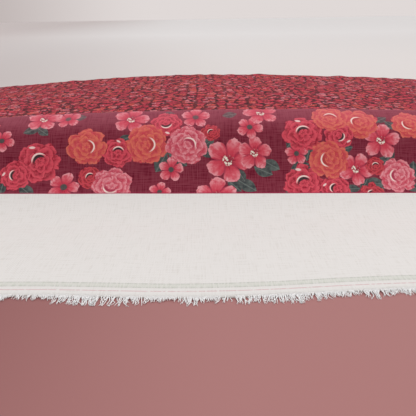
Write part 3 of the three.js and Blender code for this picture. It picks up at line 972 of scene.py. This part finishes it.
fleck_at = add(rose, "VectorMath", {0: flat, 1: (1, 2.2, 0), 2: (0.30, -1.42, 0)},
               operation="MULTIPLY_ADD")
fleck_off = add(rose, "VectorMath", {0: fleck_at}, operation="LENGTH")
fleck = add(rose, "MapRange", {0: fleck_off, 1: 0.17, 2: 0.10}, **SOFT)
red_only = add(rose, "Math", {0: kind, 1: 1.0}, operation="LESS_THAN")
fleck_on = add(rose, "Math", {0: fleck, 1: red_only}, operation="MULTIPLY")
finished = add(rose, "Mix", {0: fleck_on, 1: with_rim, 2: linear("#f0cfcb")}, data_type="RGBA")
add(rose, "NodeGroupOutput", {"Colour": finished, "Cover": cover})

# A printed five-petal blossom: streaked petals, with a dark button or a spray of stamens.
blossom, place = bloom_group("printed_blossom")
flat, uneven, out, angle = polar(blossom, place, 0.22)
petal, rim = lobes(blossom, angle, 5, 0.42, 0.42, 1.0)
inside = add(blossom, "Math", {0: rim, 1: out}, operation="SUBTRACT")
cover = add(blossom, "MapRange", {0: inside, 1: 0, 2: 0.04}, **SOFT)
kind = add(blossom, "SeparateXYZ", {0: place}).outputs["Z"]
streak_at = add(blossom, "CombineXYZ",
                {0: add(blossom, "Math", {0: angle, 1: 26}, operation="MULTIPLY"), 1: out,
                 2: kind})
streaks = add(blossom, "TexNoise", {"Vector": streak_at, "Scale": 1.6, "Detail": 2})
shade = add(blossom, "Math", {0: streaks.outputs["Fac"], 1: 0.6, 2: out},
            operation="MULTIPLY_ADD")
shade = add(blossom, "Math", {0: shade, 1: 0.72}, operation="MULTIPLY")
petals = add(blossom, "ValToRGB", {0: shade},
             stops=[(0.30, "#8e1c34"), (0.46, "#c53a4f"), (0.64, "#d65a69"), (0.90, "#e79ca4")])
between = add(blossom, "MapRange", {0: petal, 1: 0.42, 2: 0.12}, **SOFT)
seam = add(blossom, "Math", {0: between, 1: 0.7}, operation="MULTIPLY")
blotch_at = add(blossom, "VectorMath", {0: flat, 1: kind}, operation="ADD")
blotches = add(blossom, "TexNoise", {"Vector": blotch_at, "Scale": 5, "Detail": 3})
blotched = add(blossom, "MapRange", {0: blotches.outputs["Fac"], 1: 0.45, 2: 0.65, 4: 0.75}, **SOFT)
painted = add(blossom, "Mix", {0: blotched, 1: petals, 2: linear("#c93c50")}, data_type="RGBA")
parted = add(blossom, "Mix", {0: seam, 1: painted, 2: linear("#a32c47")}, data_type="RGBA")
reach = add(blossom, "VectorMath", {0: flat}, operation="LENGTH")
lily = add(blossom, "Math", {0: kind, 1: 1.0}, operation="GREATER_THAN")
button = add(blossom, "MapRange", {0: reach, 1: 0.24, 2: 0.18}, **SOFT)
open_eye = add(blossom, "Math", {0: lily, 1: -0.85, 2: 0.95}, operation="MULTIPLY_ADD")
dark = add(blossom, "Math", {0: button, 1: open_eye}, operation="MULTIPLY")
centred = add(blossom, "Mix", {0: dark, 1: parted, 2: linear("#474c4b")}, data_type="RGBA")
anthers = add(blossom, "TexVoronoi", {"Vector": flat, "Scale": 7.5})
dots = add(blossom, "MapRange", {0: anthers.outputs["Distance"], 1: 0.56, 2: 0.42}, **SOFT)
cluster = add(blossom, "MapRange", {0: reach, 1: 0.27, 2: 0.20}, **SOFT)
spray = add(blossom, "Math", {0: dots, 1: cluster}, operation="MULTIPLY")
stamens = add(blossom, "Math", {0: spray, 1: lily}, operation="MULTIPLY")
finished = add(blossom, "Mix", {0: stamens, 1: centred, 2: linear("#ece3d4")}, data_type="RGBA")
add(blossom, "NodeGroupOutput", {"Colour": finished, "Cover": cover})

# A printed leaf: a pointed oval in grey green with a paler rib.
leaf, place = bloom_group("printed_leaf")
split = add(leaf, "SeparateXYZ", {0: place})
square = add(leaf, "Math", {0: split.outputs["X"], 1: 2}, operation="POWER")
width = add(leaf, "Math", {0: square, 1: -0.62, 2: 0.62}, operation="MULTIPLY_ADD")
aside = add(leaf, "Math", {0: split.outputs["Y"]}, operation="ABSOLUTE")
inside = add(leaf, "Math", {0: width, 1: aside}, operation="SUBTRACT")
cover = add(leaf, "MapRange", {0: inside, 1: 0, 2: 0.06}, **SOFT)
mottle = add(leaf, "TexNoise", {"Vector": place, "Scale": 2.2, "Detail": 2})
green = add(leaf, "ValToRGB", {0: mottle.outputs["Fac"]},
            stops=[(0.35, "#363d3f"), (0.7, "#5d6763")])
rib = add(leaf, "MapRange", {0: aside, 1: 0.07, 2: 0.02}, **SOFT)
rib_on = add(leaf, "Math", {0: rib, 1: 0.5}, operation="MULTIPLY")
finished = add(leaf, "Mix", {0: rib_on, 1: green, 2: linear("#7b857f")}, data_type="RGBA")
add(leaf, "NodeGroupOutput", {"Colour": finished, "Cover": cover})

# The printed border cotton: the same matt weave, with the border, a painted sheen along the crest, and
# the bare end on it.
border_cotton, tree, surface = material("quilting_cotton_border", **PRINTED)
lay_at, x_at, s_at = cloth_place(tree)
relief, threads = weave(tree, lay_at, x_at, s_at)
ground = add(tree, "ValToRGB", {0: threads}, stops=[(0.7, "#661529"), (1.3, "#7c2439")])
BLOOM_LAYERS = [("leaf", leaf, {0: LEAVES}, 4, 1.25), ("blossom", blossom, BLOSSOMS, 3, 1.08),
                ("rose", rose, ROSES, 4, 1.12)]
colour = ground
for name, group, _, count, _ in BLOOM_LAYERS:
    for k in range(count):
        shown = add(tree, "Group", node_tree=group)
        at = add(tree, "Attribute", attribute_name=f"{name}_{k}")
        tree.links.new(at.outputs["Vector"], shown.inputs["Place"])
        colour = add(tree, "Mix",
                     {0: shown.outputs["Cover"], 1: colour, 2: shown.outputs["Colour"]}, data_type="RGBA")
soft_print = add(tree, "Mix", {0: add(tree, "MapRange", {0: threads, 1: 0.75, 2: 1.25, 3: 0.0, 4: 0.04}),
                               1: colour, 2: linear("#e9c9c4")}, data_type="RGBA")
# Painted sheen: the print is lightened towards pink along the crest of the front edge, standing in for
# glancing light there.
painted_crest_sheen = add(tree, "MapRange", {0: s_at, 1: 0.0, 2: 26 * MM, 3: 0.17, 4: 0.0}, **SOFT)
print_with_painted_sheen = add(tree, "Mix", {0: painted_crest_sheen, 1: soft_print, 2: linear("#e8899b")}, data_type="RGBA")

# The unprinted end and its coloured picks.
PICKS_FROM = 11.9 * MM  # before the cut
PICKS_TO = 2.5 * MM
white = add(tree, "ValToRGB", {0: threads}, stops=BARE_WHITE)
picks_at = add(tree, "MapRange", {0: s_at, 1: cut - PICKS_FROM, 2: cut - PICKS_TO})
green_picks = add(tree, "ValToRGB", {0: picks_at},
                  stops=[(0.00, "#dedad6"), (0.07, "#b3b7ac"), (0.14, "#d3d5cb"), (0.34, "#cccfc4"),
                         (0.42, "#b7bab0"), (0.50, "#dedad6")])
in_green = add(tree, "ValToRGB", {0: picks_at},
               stops=[(0.00, "#000000"), (0.04, "#e0e0e0"), (0.44, "#e0e0e0"), (0.50, "#000000")])
tick_at = add(tree, "VectorMath", {0: lay_at, 1: (1 / (0.9 * MM), 1 / (6 * MM), 0)},
              operation="MULTIPLY")
ticks = add(tree, "TexNoise", {"Vector": tick_at, "Scale": 1, "Detail": 1})
ticked = add(tree, "MapRange", {0: ticks.outputs["Fac"], 1: 0.35, 2: 0.65, 3: 0.45, 4: 1.1})
green_on = add(tree, "Math", {0: in_green, 1: ticked}, operation="MULTIPLY")
with_green = add(tree, "Mix", {0: green_on, 1: white, 2: green_picks}, data_type="RGBA")
in_pink = add(tree, "ValToRGB", {0: picks_at},
              stops=[(0.69, "#000000"), (0.73, "#d0d0d0"), (0.76, "#d0d0d0"), (0.80, "#000000")])
dash_at = add(tree, "VectorMath", {0: lay_at, 1: (1 / (1.5 * MM), 1 / (8 * MM), 0)},
              operation="MULTIPLY")
dash = add(tree, "TexNoise", {"Vector": dash_at, "Scale": 1, "Detail": 1})
dashes = add(tree, "MapRange", {0: dash.outputs["Fac"], 1: 0.22, 2: 0.56, 4: 0.78}, **SOFT)
pink_on = add(tree, "Math", {0: in_pink, 1: dashes}, operation="MULTIPLY")
with_pink = add(tree, "Mix", {0: pink_on, 1: with_green, 2: linear("#c98490")}, data_type="RGBA")
skewed = add(tree, "Math", {0: x_at, 1: -BORDER_SKEW, 2: s_at}, operation="MULTIPLY_ADD")
printed_to = add(tree, "MapRange", {0: skewed, 1: BORDER_TO - 0.15 * MM, 2: BORDER_TO + 0.15 * MM},
                 **SOFT)
edge_line = add(tree, "MapRange", {0: skewed, 1: BORDER_TO - 1.0 * MM, 2: BORDER_TO - 0.7 * MM, 4: 0.7},
                **SOFT)
edged = add(tree, "Mix", {0: edge_line, 1: print_with_painted_sheen, 2: linear("#a23552")}, data_type="RGBA")
whole = add(tree, "Mix", {0: printed_to, 1: edged, 2: with_pink}, data_type="RGBA")
coat(tree, surface, bare_selvage(tree, x_at, whole, white), relief)

cloth, face_corners = cloth_piece("cloth_free_end", end_points, end_lay, end_stations, border_cotton,
                                  PLY)
for name, _, layouts, count, grown in BLOOM_LAYERS:
    for k, places in enumerate(place_blooms(face_corners, layouts, count, grown)):
        layer = cloth.data.attributes.new(f"{name}_{k}", "FLOAT_VECTOR", "CORNER")
        layer.data.foreach_set("vector", places.astype(np.float32).ravel())

# ---- The fringe ----
# Where the cut edge has frayed, the last few picks are gone and the warp ends stand out alone: fine
# white cotton, curled and caught together in small clumps.

YARN_PITCH = 0.55 * MM  # real warp ends are closer, at 0.4 mm
YARN_RADIUS = 0.25 * MM
YARN_SIDES = 6
YARN_STEPS = 7
ROOT = 1.0 * MM  # how far a yarn runs back into the cloth
FRINGE = 6.3 * MM
CLUMP = 4.2 * MM
CURL = 0.8 * MM
HOP = 0.2 * MM  # how far a yarn springs up off the table
STRAY = 0.5 * MM  # how far its tip misses the middle of its clump

# Loose cotton yarn: white, matt and hairy, a little translucent at its edges.
yarn_cotton, tree, surface = material("frayed_cotton_yarn", Roughness=0.95, Specular_IOR_Level=0.1,
                                      Sheen_Weight=0.8, Sheen_Roughness=0.7,
                                      Subsurface_Weight=1.0, Subsurface_Radius=(1, 1, 1),
                                      Subsurface_Scale=0.4 * MM)
at = add(tree, "TexCoord").outputs["Object"]
twist_at = add(tree, "VectorMath", {0: at, 1: (1 / (0.5 * MM), 1 / (1.1 * MM), 1 / (0.5 * MM))},
               operation="MULTIPLY")
twist = add(tree, "TexNoise", {"Vector": twist_at, "Scale": 0.6, "Detail": 2})
yarn_white = add(tree, "ValToRGB", {0: twist.outputs["Fac"]}, stops=[(0.25, "#fafafa"), (0.6, "#ffffff")])
hairy = add(tree, "Bump", {"Strength": 0.4, "Distance": 0.006 * MM, "Height": twist.outputs["Fac"]})
coat(tree, surface, yarn_white, hairy)


def yarn_tube(path, points, faces):
    """Adds a closed tube that thins towards its tip, along the points of a yarn."""
    base = len(points)
    for i, at in enumerate(path):
        ahead = (path[min(i + 1, YARN_STEPS - 1)] - path[max(i - 1, 0)]).normalized()
        right = ahead.cross(Vector((0, 0, 1))).normalized()
        top = right.cross(ahead)
        radius = YARN_RADIUS * (1 - 0.55 * (i / (YARN_STEPS - 1)) ** 2)
        for q in range(YARN_SIDES):
            turn = 2 * math.pi * q / YARN_SIDES
            points.append(at + (right * math.cos(turn) + top * math.sin(turn)) * radius)
    for i in range(YARN_STEPS - 1):
        for q in range(YARN_SIDES):
            a = base + i * YARN_SIDES + q
            b = base + i * YARN_SIDES + (q + 1) % YARN_SIDES
            faces.append((a, a + YARN_SIDES, b + YARN_SIDES, b))
    faces.append(tuple(range(base, base + YARN_SIDES)))
    faces.append(tuple(base + YARN_STEPS * YARN_SIDES - 1 - q for q in range(YARN_SIDES)))


# The yarns stand in longer and shorter stretches with bare gaps between, lean in to the middle of
# their clump, and settle on the table at their tips. Few of the lower ply's show.
draws = np.random.default_rng(7)
yarn_points = []
yarn_faces = []
yarn_count = int(2 * half_width / YARN_PITCH)
for ply in (1, -1):
    for k in range(yarn_count):
        x = -half_width + (k + 0.5) * YARN_PITCH
        thin = noise.noise((x / (9 * MM), ply * 3.3, 0.5))
        missing = draws.random() < (0.04 if ply > 0 else 0.6) + 1.6 * max(0, thin - 0.18)
        grown = 0.58 + 1.0 * noise.noise((x / (26 * MM), 1.7, 4.1))
        grown += 0.65 * noise.noise((x / (6 * MM), 2.2, 9.1))
        long = FRINGE * min(max(grown + 0.28 * draws.random(), 0.14), 1.1)
        cell = math.floor(x / CLUMP + 0.6 * noise.noise((x / (11 * MM), 8.8, ply)))
        target = (cell + 0.5) * CLUMP + draws.normal() * STRAY
        lean = (target - x) * (0.45 + 0.45 * draws.random()) + 0.55 * MM * draws.normal()
        curl = draws.normal() * CURL
        phase = draws.random() * 2 * math.pi
        hop = abs(draws.normal()) * HOP
        if missing:
            continue
        path = []
        for i in range(YARN_STEPS):
            t = i / (YARN_STEPS - 1)
            out = -ROOT + t * (long + ROOT)
            free = max(0, out) / FRINGE
            side = lean * free**1.3 + curl * math.sin(phase + 5.5 * free) * min(free * 1.5, 1)
            back = 0.25 * abs(curl) * free
            root = cloth_at(np.array([[x + side]]), np.array([[cut + out - back]]), ply * PLY_LOFT)[0, 0]
            up = hop * math.sin(min(free, 1.2) * 2.6) + 0.25 * MM * math.cos(phase + 7 * free) * free
            settle = min(free * 1.2, 1)
            z = root[2] * (1 - 0.85 * settle) + up * (0.4 + 0.6 * settle)
            path.append(Vector((root[0], root[1], max(z, YARN_RADIUS + 0.05 * MM))))
        yarn_tube(path, yarn_points, yarn_faces)
fringe = mesh_piece("fringe_yarns", yarn_points, yarn_faces, [yarn_cotton], body="loose_end")
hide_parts("fringe")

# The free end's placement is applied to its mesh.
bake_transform(cloth)
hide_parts("free_end")
